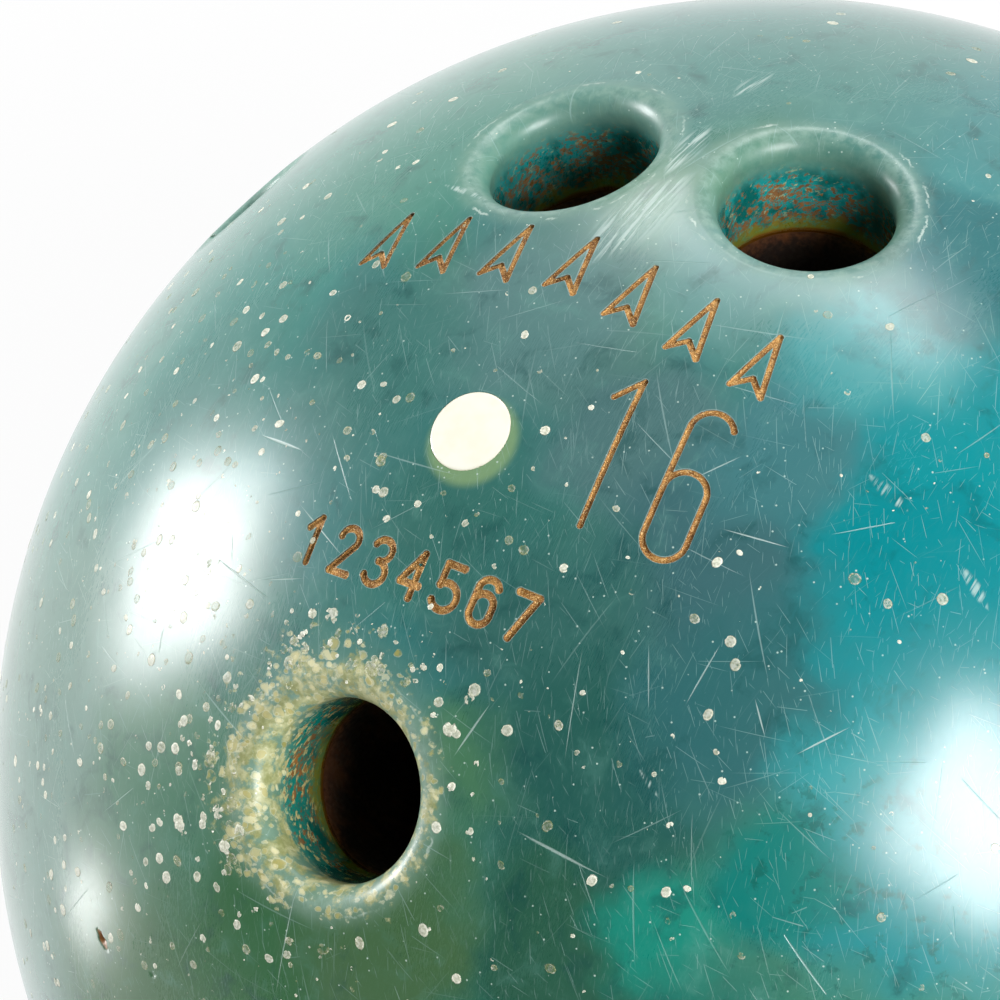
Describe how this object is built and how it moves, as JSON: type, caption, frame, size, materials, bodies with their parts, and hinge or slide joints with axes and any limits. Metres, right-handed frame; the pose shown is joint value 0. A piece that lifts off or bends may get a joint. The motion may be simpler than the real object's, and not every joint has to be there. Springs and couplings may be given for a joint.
{
  "type": "bowling ball",
  "caption": "Used teal bowling ball in translucent polyester over a dark core, drilled with grip holes and a balance hole, with a white locator pin and engraved numbers.",
  "frame": {"origin": "centre of the ball", "axes": "+Z from the centre up through the locator pin, +Y from the thumb hole towards the finger holes, +X to the right of the grip"},
  "size_m": [0.217, 0.217, 0.217],
  "materials": {
    "cover": "polished polyester, scuffed",
    "core": "matte",
    "weight_block": "matte",
    "pin": "polished",
    "engraving_paint": "copper paint, worn"
  },
  "bodies": {
    "root": {"coverstock": "cover", "core": "core", "weight_block": "weight_block", "locator_pin": "pin", "weight_number_paint": "engraving_paint", "running_number_paint": "engraving_paint", "lane_arrow_paint": "engraving_paint"}
  },
  "joints": []
}
